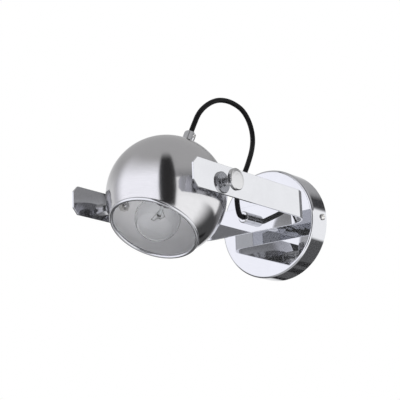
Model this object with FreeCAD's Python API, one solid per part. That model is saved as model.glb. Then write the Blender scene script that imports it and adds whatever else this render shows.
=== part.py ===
import FreeCAD, Part
import math
import os

# Pivoting ball spotlight for a wall. The wall is the plane y = 0 and the room is at -Y, with +Z up.
# The origin is the middle of the wall rose, on the wall. All sizes are in millimetres.

V = FreeCAD.Vector
X_AXIS = V(1, 0, 0)
Y_AXIS = V(0, 1, 0)
Z_AXIS = V(0, 0, 1)

# --- Driving dimensions -------------------------------------------------------------------------

# clearances
fixed_gap = 0.05        # between pieces that are clamped or screwed together
turn_gap = 0.06         # radial, round a shaft that turns
face_gap = 0.10         # between flat faces that slide on each other

# wall rose: a shallow drum over the wall strap
rose_radius = 60.0
rose_depth = 27.5
rose_wall = 1.2
rose_corner = 3.0
rose_screw_height = 9.0     # of the side screws, from the wall

# wall strap inside the rose, with its ends bent towards the room
strap_thickness = 2.0
strap_width = 22.0
strap_tab_width = 14.0
strap_tab_length = 14.0
strap_rose_gap = 2.2        # between a bent end and the rose's wall
strap_cable_hole_radius = 9.0
wall_slot_spacing = 84.0
wall_slot_length = 10.0
wall_slot_width = 5.0

# screws
side_screw_radius = 2.0
side_screw_head_radius = 3.4
side_screw_head_height = 2.2
side_screw_inside = 4.0     # thread past the strap's bent end
earth_screw_radius = 2.0
earth_screw_head_radius = 3.6
earth_screw_head_height = 2.4
earth_screw_offset = 20.0
grub_radius = 1.5
grub_proud = 0.9

# terminal block on the strap
terminal_length = 26.0
terminal_height = 16.0
terminal_depth = 11.0
terminal_offset = 10.0
terminal_poles = 3
terminal_screw_radius = 1.6

# hollow threaded tubes and the nuts and washers on them
tube_radius = 4.0
tube_bore_radius = 2.9
nut_flats = 13.0
nut_thickness = 3.5
washer_radius = 8.0
washer_thickness = 0.8
washer_teeth = 12

# stem between the rose and the yoke
stem_length = 28.0
stem_radius = 7.0
stem_tube_inside = 10.0     # threaded tube past the inside of the rose's face
stem_tube_outside = 7.0     # and past the front of the yoke's strip

# yoke: one strip bent to a U
strip_width = 29.0
strip_thickness = 2.0
yoke_half_width = 76.0
yoke_bend_radius = 24.0
yoke_reach = 146.5          # from the back of the strip to the tilt axis
arm_past_pivot = 54.5
arm_chamfer = 6.5

# cord grips, one on the yoke and one on the head
grip_radius = 6.3
yoke_grip_length = 15.0
head_grip_length = 24.5
grip_bevel = 1.0
grip_screw_from_end = 5.0
grip_socket_room = 0.5      # between a threaded tube's end and the bottom of its socket

# lamp head: a spun ball with its mouth cut by a plane
head_tilt = 60.0            # of the light's direction, in degrees below level
ball_radius = 60.0
ball_wall = 1.5
mouth_distance = 40.7       # of the shell's edge from the ball's centre
rim_bead_radius = 1.9

# pivots
pivot_radius = 3.0
spacer_radius = 6.75
pivot_nut_flats = 11.0
pivot_nut_thickness = 5.0
pivot_screw_inside = 8.0    # thread past the inside of the shell
knob_radius = 10.8
knob_thickness = 5.0
knob_edge = 0.8
knob_neck_radius = 3.9
knob_neck_length = 4.7
knob_foot_radius = 5.0
knob_foot_length = 1.2

# lamp holder, measured along the head's axis
holder_neck_radius = 7.5
holder_neck_length = 8.0
holder_cap_radius = 14.0
holder_cap_length = 16.0
holder_skirt_length = 34.0
holder_wall = 2.0
insert_thickness = 8.0
screw_shell_radius = 7.7
screw_shell_wall = 0.5
screw_shell_length = 23.0
centre_contact_radius = 2.5
centre_contact_height = 2.0

# globe bulb
globe_radius = 22.5
globe_tip_past_mouth = 11.8
glass_wall = 0.8
bulb_cap_radius = 6.95
bulb_cap_length = 21.0
bulb_cap_wall = 0.4
bulb_thread_pitch = 2.82
bulb_thread_depth = 0.45
bulb_foot_length = 4.5
filament_wire = 0.5
filament_span = 17.0
stem_rod_radius = 1.8
stem_flare_radius = 5.0

# cable
cable_radius = 2.75
core_radius = 1.1
core_gap = 1.0              # between the cable's cut end and its bared cores

# Route of the free cable from the head's grip to the yoke's grip. It starts in the plane x = 0 and
# swings to the near side below its loop. Its two ends and their straight runs follow from the grips,
# and the points between stay as chosen.
cable_first_run = 13.0
cable_last_run = 5.5
cable_points = [
    (0.0, -144.0, 99.8),
    (0.0, -128.7, 112.8),
    (0.0, -110.9, 122.2),
    (0.0, -93.0, 126.0),
    (0.1, -77.8, 125.6),
    (0.4, -64.3, 122.3),
    (1.0, -54.8, 113.6),
    (1.9, -50.2, 101.8),
    (3.8, -51.8, 89.8),
    (7.0, -58.5, 78.8),
    (11.3, -67.8, 69.0),
    (15.3, -78.0, 58.5),
    (18.2, -88.2, 46.5),
    (19.2, -97.3, 34.5),
    (17.6, -103.5, 22.5),
    (13.3, -101.0, 13.5),
    (8.5, -94.0, 8.8),
    (3.4, -85.5, 4.0),
]

# --- Sizes that follow --------------------------------------------------------------------------

rose_face_y = -rose_depth
strip_back_y = rose_face_y - stem_length
strip_front_y = strip_back_y - strip_thickness
pivot_y = strip_back_y - yoke_reach
arm_end_y = pivot_y - arm_past_pivot
arm_inner_x = yoke_half_width - strip_thickness
head_lean = head_tilt - 90.0            # turn about X of a head built with its axis upright
mouth_radius = math.sqrt(ball_radius**2 - mouth_distance**2)
ball_inner_radius = ball_radius - ball_wall
tube_hole_radius = tube_radius + fixed_gap
pivot_hole_radius = pivot_radius + turn_gap
cable_hole_radius = cable_radius + fixed_gap
cable_cut_y = rose_face_y + rose_wall + stem_tube_inside + 1.0
core_start_y = cable_cut_y + core_gap

# heights on the head's own axis: 0 is the ball's centre and + is towards the cable grip
grip_foot_h = ball_radius + fixed_gap
grip_top_h = grip_foot_h + head_grip_length
washer_top_h = math.sqrt(ball_inner_radius**2 - washer_radius**2) - fixed_gap
washer_foot_h = washer_top_h - washer_thickness
nut_foot_h = washer_foot_h - fixed_gap - nut_thickness
holder_top_h = nut_foot_h - fixed_gap
holder_shoulder_h = holder_top_h - holder_neck_length
holder_joint_h = holder_shoulder_h - holder_cap_length
holder_foot_h = holder_joint_h - holder_skirt_length
insert_foot_h = holder_joint_h - fixed_gap
globe_h = globe_radius - mouth_distance - globe_tip_past_mouth
contact_foot_h = insert_foot_h - centre_contact_height
glass_neck_radius = bulb_cap_radius - bulb_cap_wall - bulb_thread_depth - fixed_gap
cap_foot_h = contact_foot_h - fixed_gap
cap_top_h = cap_foot_h - bulb_foot_length
cap_mouth_h = cap_top_h - bulb_cap_length


# --- Helpers ------------------------------------------------------------------------------------

def rod(radius, start, end):
    """A round bar between two points."""
    span = end.sub(start)
    return Part.makeCylinder(radius, span.Length, start, span)


def pipe(radius, bore, start, end):
    """A round bar with a bore right through it."""
    over = end.sub(start).normalize()
    return rod(radius, start, end).cut(rod(bore, start.sub(over), end.add(over)))


def hexagon(flats, thickness, foot, axis):
    """A six-sided bar whose foot's centre and axis are given."""
    corner = flats / math.sqrt(3.0)
    points = []
    for k in range(7):
        angle = math.radians(60.0 * k)
        points.append(V(corner * math.cos(angle), corner * math.sin(angle), 0))
    bar = Part.Face(Part.makePolygon(points)).extrude(V(0, 0, thickness))
    bar.Placement = FreeCAD.Placement(foot, FreeCAD.Rotation(Z_AXIS, axis))
    return bar


def revolve(edges, centre=V(0, 0, 0), axis=Z_AXIS):
    """A solid of revolution from the edges of a closed half section."""
    face = Part.Face(Part.Wire(Part.__sortEdges__(edges)))
    return face.revolve(centre, axis, 360)


def line(a, b):
    """A straight edge in a half section, from (radius, height) to (radius, height)."""
    return Part.LineSegment(V(a[0], 0, a[1]), V(b[0], 0, b[1])).toShape()


def arc(a, middle, b):
    """A round edge in a half section through three (radius, height) points."""
    return Part.Arc(V(a[0], 0, a[1]), V(middle[0], 0, middle[1]), V(b[0], 0, b[1])).toShape()


def section(points):
    """The straight edges of a closed half section."""
    return [line(a, b) for a, b in zip(points, points[1:] + points[:1])]


def lathe_on_wall(points):
    """A solid turned about the wall's normal, from (radius, distance from the wall) points."""
    solid = revolve(section(points))
    solid.rotate(V(0, 0, 0), X_AXIS, 90)
    return solid


def to_head(shape):
    """Move a piece from the upright head's own axes to its place between the arms."""
    placed = shape.copy()
    placed.rotate(V(0, 0, 0), X_AXIS, head_lean)
    placed.translate(V(0, pivot_y, 0))
    return placed


def head_axis():
    """The direction from the ball's centre to the cable grip."""
    return FreeCAD.Rotation(X_AXIS, head_lean).multVec(Z_AXIS)


def one_solid(shape):
    """The single solid that a cut or a joint leaves, tidied."""
    clean = shape.removeSplitter()
    return clean.Solids[0] if len(clean.Solids) == 1 else clean


def group(shapes):
    """Separate solids that share a node."""
    return Part.makeCompound(shapes)


# --- Wall side ----------------------------------------------------------------------------------

def wall_strap():
    """Flat bar on the wall with two bent ends that the rose's side screws enter."""
    tab_outer = rose_radius - rose_wall - strap_rose_gap
    tab_inner = tab_outer - strap_thickness
    bar = Part.makeBox(2 * tab_outer, strap_thickness, strap_width,
                       V(-tab_outer, -strap_thickness, -strap_width / 2))
    for side in (-1, 1):
        corner_x = min(side * tab_outer, side * tab_inner)
        tab = Part.makeBox(strap_thickness, strap_tab_length, strap_tab_width,
                           V(corner_x, -strap_tab_length, -strap_tab_width / 2))
        bar = bar.fuse(tab)
        trim = strap_width - strap_tab_width
        for end in (-1, 1):
            notch = Part.makeBox(4 * strap_thickness, 3 * strap_thickness, trim,
                                 V(side * tab_outer - 2 * strap_thickness, -2 * strap_thickness,
                                   end * (strap_tab_width + trim) / 2 - trim / 2))
            bar = bar.cut(notch)
        hole_start = V(side * (tab_inner - 1), -rose_screw_height, 0)
        hole_end = V(side * (tab_outer + 1), -rose_screw_height, 0)
        bar = bar.cut(rod(side_screw_radius + fixed_gap, hole_start, hole_end))
        bar = bar.cut(wall_slot(side * wall_slot_spacing / 2))
    bar = bar.cut(rod(strap_cable_hole_radius, V(0, -strap_thickness - 1, 0), V(0, 1, 0)))
    earth_hole_start = V(-earth_screw_offset, -strap_thickness - 1, 0)
    bar = bar.cut(rod(earth_screw_radius + fixed_gap, earth_hole_start, V(-earth_screw_offset, 1, 0)))
    return one_solid(bar)


def wall_slot(x):
    """Cutter for one round-ended slot of the strap, centred at x."""
    half = wall_slot_width / 2
    run = wall_slot_length / 2 - half
    depth = strap_thickness + 2
    cutter = Part.makeBox(2 * run, depth, 2 * half, V(x - run, -strap_thickness - 1, -half))
    for end in (-1, 1):
        centre_x = x + end * run
        cutter = cutter.fuse(rod(half, V(centre_x, 1, 0), V(centre_x, -strap_thickness - 1, 0)))
    return cutter


def rose():
    """Drum with a rounded front edge, a centre hole for the stem and two side holes."""
    r = rose_radius
    d = rose_depth
    c = rose_corner
    w = rose_wall
    hole = tube_radius + turn_gap
    ci = c - w
    k = math.sqrt(0.5)
    edges = [
        line((r, 0), (r, d - c)),
        arc((r, d - c), (r - c + c * k, d - c + c * k), (r - c, d)),
        line((r - c, d), (hole, d)),
        line((hole, d), (hole, d - w)),
        line((hole, d - w), (r - c, d - w)),
        arc((r - c, d - w), (r - c + ci * k, d - c + ci * k), (r - w, d - c)),
        line((r - w, d - c), (r - w, 0)),
        line((r - w, 0), (r, 0)),
    ]
    drum = revolve(edges)
    drum.rotate(V(0, 0, 0), X_AXIS, 90)
    for side in (-1, 1):
        start = V(side * (r - w - 2), -rose_screw_height, 0)
        end = V(side * (r + 2), -rose_screw_height, 0)
        drum = drum.cut(rod(side_screw_radius + 0.2, start, end))
    return one_solid(drum)


def rose_screws():
    """The two screws through the rose's side, with round slotted heads."""
    screws = []
    tab_inner = rose_radius - rose_wall - strap_rose_gap - strap_thickness
    for side in (-1, 1):
        seat = rose_radius + face_gap
        tip = V(side * (tab_inner - side_screw_inside), -rose_screw_height, 0)
        root = V(side * seat, -rose_screw_height, 0)
        shank = rod(side_screw_radius, tip, root)
        crown = math.hypot(side_screw_head_radius, 1.0)
        bulge = side_screw_head_height - math.sqrt(crown**2 - side_screw_head_radius**2)
        head = rod(side_screw_head_radius, root, V(side * (seat + bulge), -rose_screw_height, 0))
        dome = Part.makeSphere(crown, V(side * (seat + side_screw_head_height - crown), -rose_screw_height, 0))
        full = rod(side_screw_head_radius, root,
                   V(side * (seat + side_screw_head_height), -rose_screw_height, 0))
        head = head.fuse(dome.common(full))
        slot = Part.makeBox(2.0, 2 * side_screw_head_radius + 2, 0.8,
                            V(side * (seat + side_screw_head_height) - 1.0,
                              -rose_screw_height - side_screw_head_radius - 1, -0.4))
        screws.append(one_solid(shank.fuse(head).cut(slot)))
    return group(screws)


def terminal_block():
    """Three-pole connector block with a screw well and a wire way for each pole."""
    foot_y = -strap_thickness - fixed_gap
    block = Part.makeBox(terminal_length, terminal_depth, terminal_height,
                         V(terminal_offset, foot_y - terminal_depth, -terminal_height / 2))
    pitch = terminal_height / terminal_poles
    for k in range(terminal_poles):
        z = (k - (terminal_poles - 1) / 2) * pitch
        way = rod(core_radius + 0.3, V(terminal_offset - 1, foot_y - terminal_depth / 2, z),
                  V(terminal_offset + terminal_length + 1, foot_y - terminal_depth / 2, z))
        block = block.cut(way)
        for x in terminal_screw_places():
            well = rod(terminal_screw_radius + fixed_gap, V(x, foot_y - terminal_depth - 1, z),
                       V(x, foot_y - terminal_depth / 2, z))
            block = block.cut(well)
    return one_solid(block)


def terminal_screw_places():
    """The x of the two rows of terminal screws."""
    return [terminal_offset + terminal_length * share for share in (0.28, 0.72)]


def terminal_screws():
    """Two clamping screws for each pole, low in their wells."""
    foot_y = -strap_thickness - fixed_gap
    pitch = terminal_height / terminal_poles
    screws = []
    for k in range(terminal_poles):
        z = (k - (terminal_poles - 1) / 2) * pitch
        for x in terminal_screw_places():
            top = V(x, foot_y - terminal_depth + 0.8, z)
            foot = V(x, foot_y - terminal_depth / 2 - core_radius - 0.2, z)
            screws.append(rod(terminal_screw_radius, foot, top))
    return group(screws)


def earth_screw():
    """Earth screw in the strap, with its square clamp plate."""
    x = -earth_screw_offset
    seat = -strap_thickness - fixed_gap
    plate = Part.makeBox(8.0, 0.8, 8.0, V(x - 4.0, seat - 0.8, -4.0))
    shank = rod(earth_screw_radius, V(x, -0.3, 0), V(x, seat, 0))
    head = rod(earth_screw_head_radius, V(x, seat - 0.8, 0), V(x, seat - 0.8 - earth_screw_head_height, 0))
    slot = Part.makeBox(10, 1.0, 0.9, V(x - 5, seat - 0.8 - earth_screw_head_height - 0.01, -0.45))
    return one_solid(plate.fuse(shank).fuse(head).cut(slot))


def supply_core(side):
    """One insulated core from the cable's cut end to an outer pole of the terminal block."""
    end_y = -strap_thickness - fixed_gap - terminal_depth / 2
    pitch = terminal_height / terminal_poles
    start = V(0.6, core_start_y, side * 1.3)
    bend_a = V(2.0, core_start_y + 2.6, side * 2.2)
    bend_b = V(terminal_offset - 4.0, end_y, side * (pitch - 0.6))
    end = V(terminal_offset + 2.0, end_y, side * pitch)
    return tube_along([start, bend_a, bend_b, end], core_radius)


def earth_core():
    """The earth core from the cable's cut end to the earth screw's plate."""
    seat = -strap_thickness - fixed_gap - 0.8
    x = -earth_screw_offset
    points = [
        V(-1.6, core_start_y, 0),
        V(-4.0, core_start_y + 2.4, 0.6),
        V(-10.5, seat - core_radius - 1.6, 0.9),
        V(x + earth_screw_head_radius + core_radius + 0.1, seat - core_radius - 0.1, 0.0),
    ]
    return tube_along(points, core_radius)


# --- Stem and yoke ------------------------------------------------------------------------------

def stem_tube():
    """Hollow threaded tube that joins the rose, the stem sleeve, the yoke and its cord grip."""
    back = V(0, rose_face_y + rose_wall + stem_tube_inside, 0)
    front = V(0, strip_front_y - stem_tube_outside, 0)
    return pipe(tube_radius, tube_bore_radius, back, front)


def stem_sleeve():
    """Polished spacer sleeve between the rose's face and the back of the yoke."""
    start = V(0, rose_face_y - face_gap, 0)
    end = V(0, strip_back_y + fixed_gap, 0)
    return pipe(stem_radius, tube_hole_radius, start, end)


def toothed_washer(foot, axis):
    """Shakeproof washer with a ring of teeth."""
    washer = rod(washer_radius, foot, foot.add(V(axis).multiply(washer_thickness)))
    washer = washer.cut(rod(tube_hole_radius, foot.sub(axis), foot.add(V(axis).multiply(3))))
    turn = FreeCAD.Rotation(Z_AXIS, axis)
    for k in range(washer_teeth):
        angle = 2 * math.pi * k / washer_teeth
        spot = turn.multVec(V(washer_radius * math.cos(angle), washer_radius * math.sin(angle), -1))
        gap = Part.makeCylinder(0.8, washer_thickness + 2, foot.add(spot), axis)
        washer = washer.cut(gap)
    return one_solid(washer)


def stem_washer():
    """Toothed washer against the inside of the rose's face."""
    return toothed_washer(V(0, rose_face_y + rose_wall + face_gap, 0), Y_AXIS)


def nut(foot, axis):
    """Hexagon nut on a threaded tube."""
    body = hexagon(nut_flats, nut_thickness, foot, axis)
    over = V(axis).multiply(nut_thickness + 1)
    return body.cut(rod(tube_hole_radius, foot.sub(axis), foot.add(over)))


def stem_nut():
    """Nut inside the rose that holds the stem."""
    return nut(V(0, rose_face_y + rose_wall + face_gap + washer_thickness + fixed_gap, 0), Y_AXIS)


def yoke():
    """The U of flat strip: base, two bends and two arms with chamfered ends."""
    outer = yoke_half_width
    bend_outer = yoke_bend_radius + strip_thickness
    inner = arm_inner_x
    bend_y = strip_front_y - yoke_bend_radius
    base_x = inner - yoke_bend_radius
    k = math.sqrt(0.5)
    edges = []
    for side in (-1, 1):
        outer_mid = V(side * (base_x + bend_outer * k), bend_y + bend_outer * k, 0)
        inner_mid = V(side * (base_x + yoke_bend_radius * k), bend_y + yoke_bend_radius * k, 0)
        tip_outer = V(side * outer, arm_end_y, 0)
        tip_inner = V(side * inner, arm_end_y, 0)
        fold_outer = V(side * outer, bend_y, 0)
        fold_inner = V(side * inner, bend_y, 0)
        edges.append(Part.Arc(V(side * base_x, strip_back_y, 0), outer_mid, fold_outer).toShape())
        edges.append(Part.LineSegment(fold_outer, tip_outer).toShape())
        edges.append(Part.LineSegment(tip_outer, tip_inner).toShape())
        edges.append(Part.LineSegment(tip_inner, fold_inner).toShape())
        edges.append(Part.Arc(fold_inner, inner_mid, V(side * base_x, strip_front_y, 0)).toShape())
    edges.append(Part.LineSegment(V(-base_x, strip_back_y, 0), V(base_x, strip_back_y, 0)).toShape())
    edges.append(Part.LineSegment(V(-base_x, strip_front_y, 0), V(base_x, strip_front_y, 0)).toShape())
    strip = Part.Face(Part.Wire(Part.__sortEdges__(edges))).extrude(V(0, 0, strip_width))
    strip.translate(V(0, 0, -strip_width / 2))
    for side in (-1, 1):
        for end in (-1, 1):
            strip = strip.cut(arm_corner(side, end))
        hole_start = V(side * (inner - 1), pivot_y, 0)
        strip = strip.cut(rod(pivot_hole_radius, hole_start, V(side * (outer + 1), pivot_y, 0)))
    centre_hole = rod(tube_hole_radius, V(0, strip_front_y - 1, 0), V(0, strip_back_y + 1, 0))
    return one_solid(strip.cut(centre_hole))


def arm_corner(side, end):
    """Cutter for one chamfered corner of an arm's free end."""
    tip = V(side * (yoke_half_width + 1), arm_end_y, end * strip_width / 2)
    along = V(tip.x, tip.y + arm_chamfer, tip.z)
    down = V(tip.x, tip.y, tip.z - end * arm_chamfer)
    beyond_a = V(tip.x, tip.y - 1, tip.z - end * arm_chamfer)
    beyond_b = V(tip.x, tip.y - 1, tip.z + end)
    beyond_c = V(tip.x, tip.y + arm_chamfer, tip.z + end)
    face = Part.Face(Part.makePolygon([along, down, beyond_a, beyond_b, beyond_c, along]))
    return face.extrude(V(-side * (strip_thickness + 2), 0, 0))


def grip(height_of_foot, length, tube_end):
    """Cord grip with its foot at a height on Z: a tube socket below and a snug cable hole above."""
    foot = height_of_foot
    top = foot + length
    socket_top = tube_end + grip_socket_room
    profile = [
        (tube_hole_radius, foot),
        (grip_radius, foot),
        (grip_radius, top - grip_bevel),
        (grip_radius - grip_bevel, top),
        (cable_hole_radius, top),
        (cable_hole_radius, socket_top),
        (tube_hole_radius, socket_top),
    ]
    body = revolve(section(profile))
    screw_h = top - grip_screw_from_end
    hole = rod(grub_radius + fixed_gap, V(0, 0, screw_h), V(grip_radius + 1, 0, screw_h))
    return one_solid(body.cut(hole))


def grub_screw(grip_top):
    """Small screw in the side of a grip, with its socket outwards, that bears on the cable."""
    screw_h = grip_top - grip_screw_from_end
    tip = V(cable_radius + fixed_gap, 0, screw_h)
    top = V(grip_radius + grub_proud, 0, screw_h)
    socket = hexagon(1.3, 2.0, V(top.x - 1.2, 0, screw_h), X_AXIS)
    return one_solid(rod(grub_radius, tip, top).cut(socket))


def yoke_grip_foot():
    """Distance from the wall of the foot of the yoke's grip."""
    return -strip_front_y + fixed_gap


def yoke_grip_top():
    """Distance from the wall of the end of the yoke's grip where the cable leaves it."""
    return yoke_grip_foot() + yoke_grip_length


def lay_on_wall_axis(shape):
    """Lay a grip built upright along the wall's normal, with its top into the room."""
    placed = shape.copy()
    placed.rotate(V(0, 0, 0), Z_AXIS, 180)
    placed.rotate(V(0, 0, 0), X_AXIS, 90)
    return placed


def yoke_grip():
    """Cord grip at the front of the yoke's strip, which also clamps the strip to the stem."""
    tube_end = -strip_front_y + stem_tube_outside
    return lay_on_wall_axis(grip(yoke_grip_foot(), yoke_grip_length, tube_end))


def yoke_grip_screw():
    """Grub screw of the yoke's cord grip."""
    return lay_on_wall_axis(grub_screw(yoke_grip_top()))


def stem_cable():
    """The stretch of cable inside the stem and the yoke's grip."""
    end = V(0, -yoke_grip_top(), 0)
    return rod(cable_radius, V(0, cable_cut_y, 0), end)


# --- Lamp head, built upright about its own axis ------------------------------------------------

def lamp_shell():
    """Ball shell open at its mouth, with a hole at the back and one at each pivot."""
    r = ball_radius
    ri = ball_inner_radius
    foot = -mouth_distance
    foot_out = math.sqrt(r**2 - foot**2)
    foot_in = math.sqrt(ri**2 - foot**2)
    hole = tube_hole_radius
    top_out = math.sqrt(r**2 - hole**2)
    top_in = math.sqrt(ri**2 - hole**2)
    middle = math.radians(20)
    edges = [
        arc((foot_out, foot), (r * math.cos(middle), r * math.sin(middle)), (hole, top_out)),
        line((hole, top_out), (hole, top_in)),
        arc((hole, top_in), (ri * math.cos(middle), ri * math.sin(middle)), (foot_in, foot)),
        line((foot_in, foot), (foot_out, foot)),
    ]
    shell = revolve(edges)
    shell = shell.cut(rod(pivot_hole_radius, V(-r - 1, 0, 0), V(r + 1, 0, 0)))
    return to_head(one_solid(shell))


def rim_ring():
    """Polished bead round the mouth, flat where it meets the shell's edge."""
    b = rim_bead_radius
    centre_r = mouth_radius - ball_wall / 2
    flat_h = -mouth_distance - fixed_gap
    half_flat = ball_wall * 0.55
    centre_h = flat_h - math.sqrt(b**2 - half_flat**2)
    edges = [
        line((centre_r - half_flat, flat_h), (centre_r + half_flat, flat_h)),
        arc((centre_r + half_flat, flat_h), (centre_r, centre_h - b), (centre_r - half_flat, flat_h)),
    ]
    return to_head(revolve(edges))


def pivot_spacers():
    """The two sleeves that keep the ball central between the arms."""
    spacers = []
    for side in (-1, 1):
        start = V(side * ball_radius, 0, 0)
        end = V(side * (arm_inner_x - face_gap), 0, 0)
        spacers.append(to_head(pipe(spacer_radius, pivot_hole_radius, start, end)))
    return spacers


def pivot_nuts():
    """The two hexagon nuts inside the shell that the pivot screws enter."""
    corner = pivot_nut_flats / math.sqrt(3.0)
    seat = math.sqrt(ball_inner_radius**2 - corner**2) - fixed_gap
    nuts = []
    for side in (-1, 1):
        foot = V(side * (seat - pivot_nut_thickness), 0, 0)
        body = hexagon(pivot_nut_flats, pivot_nut_thickness, foot, V(side, 0, 0))
        bore = rod(pivot_hole_radius, V(side * (seat - 10), 0, 0), V(side * (seat + 2), 0, 0))
        nuts.append(to_head(body.cut(bore)))
    return nuts


def head_tube():
    """Hollow threaded tube through the back of the shell."""
    start = V(0, 0, holder_shoulder_h - 3.0)
    end = V(0, 0, grip_foot_h + stem_tube_outside)
    return to_head(pipe(tube_radius, tube_bore_radius, start, end))


def head_washer():
    """Toothed washer inside the back of the shell."""
    return to_head(toothed_washer(V(0, 0, washer_foot_h), Z_AXIS))


def head_nut():
    """Nut that clamps the threaded tube to the shell."""
    return to_head(nut(V(0, 0, nut_foot_h), Z_AXIS))


def head_grip():
    """Cord grip outside the back of the shell."""
    return to_head(grip(grip_foot_h, head_grip_length, grip_foot_h + stem_tube_outside))


def head_grip_screw():
    """Grub screw of the head's cord grip."""
    return to_head(grub_screw(grip_top_h))


def head_cable():
    """The stretch of cable inside the head's grip and threaded tube."""
    return to_head(rod(cable_radius, V(0, 0, holder_shoulder_h - 2.0), V(0, 0, grip_top_h)))


def holder_cap():
    """Back half of the lamp holder, screwed on the threaded tube."""
    w = holder_wall
    profile = [
        (tube_hole_radius, holder_top_h),
        (holder_neck_radius, holder_top_h),
        (holder_neck_radius, holder_shoulder_h),
        (holder_cap_radius - w, holder_shoulder_h),
        (holder_cap_radius, holder_shoulder_h - w),
        (holder_cap_radius, holder_joint_h),
        (holder_cap_radius - w, holder_joint_h),
        (holder_cap_radius - w, holder_shoulder_h - w),
        (tube_hole_radius, holder_shoulder_h - w),
    ]
    return to_head(one_solid(revolve(section(profile))))


def holder_skirt():
    """Front half of the lamp holder, a sleeve round the bulb's cap."""
    top = V(0, 0, holder_joint_h - fixed_gap)
    foot = V(0, 0, holder_foot_h)
    return to_head(pipe(holder_cap_radius, holder_cap_radius - holder_wall, foot, top))


def holder_insert():
    """Ceramic disc that carries the contacts, inside the lamp holder."""
    radius = holder_cap_radius - holder_wall - fixed_gap
    body = rod(radius, V(0, 0, insert_foot_h), V(0, 0, insert_foot_h + insert_thickness))
    for side in (-1, 1):
        way = rod(core_radius + 0.2, V(side * 7.0, 0, insert_foot_h - 1),
                  V(side * 7.0, 0, insert_foot_h + insert_thickness + 1))
        body = body.cut(way)
    return to_head(one_solid(body))


def screw_shell():
    """Threaded metal sleeve of the lamp holder."""
    foot = V(0, 0, insert_foot_h - fixed_gap - screw_shell_length)
    top = V(0, 0, insert_foot_h - fixed_gap)
    return to_head(pipe(screw_shell_radius + screw_shell_wall, screw_shell_radius, foot, top))


def centre_contact():
    """Centre contact of the lamp holder."""
    start = V(0, 0, contact_foot_h)
    return to_head(rod(centre_contact_radius, start, V(0, 0, insert_foot_h - fixed_gap)))


def holder_core(side):
    """One core from the cable's end to a wire way of the ceramic insert."""
    start = V(side * 1.3, 0, holder_shoulder_h - 2.4)
    bend_a = V(side * 1.8, 0, holder_shoulder_h - 5.2)
    bend_b = V(side * 6.8, 0, insert_foot_h + insert_thickness + 3.4)
    end = V(side * 7.0, 0, insert_foot_h + insert_thickness - 2.0)
    return to_head(tube_along([start, bend_a, bend_b, end], core_radius))


# --- Bulb ---------------------------------------------------------------------------------------

def bulb_glass():
    """Clear globe with a short neck that ends inside the bulb's cap."""
    r = globe_radius
    ri = globe_radius - glass_wall
    n = glass_neck_radius
    ni = glass_neck_radius - glass_wall
    neck_top = cap_mouth_h + 4.0
    join = globe_h + math.sqrt(r**2 - n**2)
    join_in = globe_h + math.sqrt(ri**2 - ni**2)
    foot = globe_h - r
    foot_in = globe_h - ri
    edges = [
        arc((0, foot), (r, globe_h), (n, join)),
        line((n, join), (n, neck_top)),
        line((n, neck_top), (ni, neck_top)),
        line((ni, neck_top), (ni, join_in)),
        arc((ni, join_in), (ri, globe_h), (0, foot_in)),
        line((0, foot_in), (0, foot)),
    ]
    return to_head(revolve(edges))


def bulb_cap():
    """Threaded metal cap of the bulb, with its insulator and foot contact."""
    r = bulb_cap_radius
    w = bulb_cap_wall + bulb_thread_depth
    outline = [(r - w, cap_mouth_h), (r, cap_mouth_h)]
    turns = int((bulb_cap_length - 6.0) / bulb_thread_pitch)
    for k in range(turns):
        h = cap_mouth_h + 4.0 + k * bulb_thread_pitch
        outline.append((r, h))
        outline.append((r - bulb_thread_depth, h + bulb_thread_pitch / 2))
    outline.append((r, cap_mouth_h + 4.0 + turns * bulb_thread_pitch))
    outline.append((r, cap_top_h))
    outline.append((3.6, cap_foot_h - 1.2))
    outline.append((2.4, cap_foot_h))
    outline.append((0, cap_foot_h))
    outline.append((0, cap_top_h - 1.5))
    outline.append((r - w, cap_top_h - 1.5))
    return to_head(one_solid(revolve(section(outline))))


def bulb_stem():
    """Glass stem inside the bulb: a flare sealed in the neck and a rod that carries the wires."""
    flare_top = cap_mouth_h + 3.0
    profile = [
        (0, flare_top),
        (stem_flare_radius, flare_top),
        (stem_flare_radius - 0.6, flare_top - 1.5),
        (stem_rod_radius + 0.7, flare_top - 8.0),
        (stem_rod_radius, flare_top - 12.0),
        (stem_rod_radius, globe_h + 4.0),
        (0, globe_h + 2.5),
    ]
    return to_head(one_solid(revolve(section(profile))))


def filament():
    """Two lead wires, the supports and the zigzag filament, joined end to end."""
    half = filament_span / 2
    low_h = globe_h + 1.0
    top_h = globe_h + 11.0
    side_r = stem_rod_radius + filament_wire + 0.2
    points = [
        V(side_r, 0, top_h),
        V(side_r + 1.5, 0, globe_h + 7.0),
        V(half, 0, low_h),
        V(half * 0.5, 0, low_h - 2.6),
        V(0, 0, low_h - 0.4),
        V(-half * 0.5, 0, low_h - 2.6),
        V(-half, 0, low_h),
        V(-side_r - 1.5, 0, globe_h + 7.0),
        V(-side_r, 0, top_h),
    ]
    wire = rod(filament_wire, points[0], points[1])
    for a, b in zip(points[1:], points[2:]):
        wire = wire.fuse(Part.makeSphere(filament_wire, a)).fuse(rod(filament_wire, a, b))
    return to_head(one_solid(wire))


# --- Pivot screws -------------------------------------------------------------------------------

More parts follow.
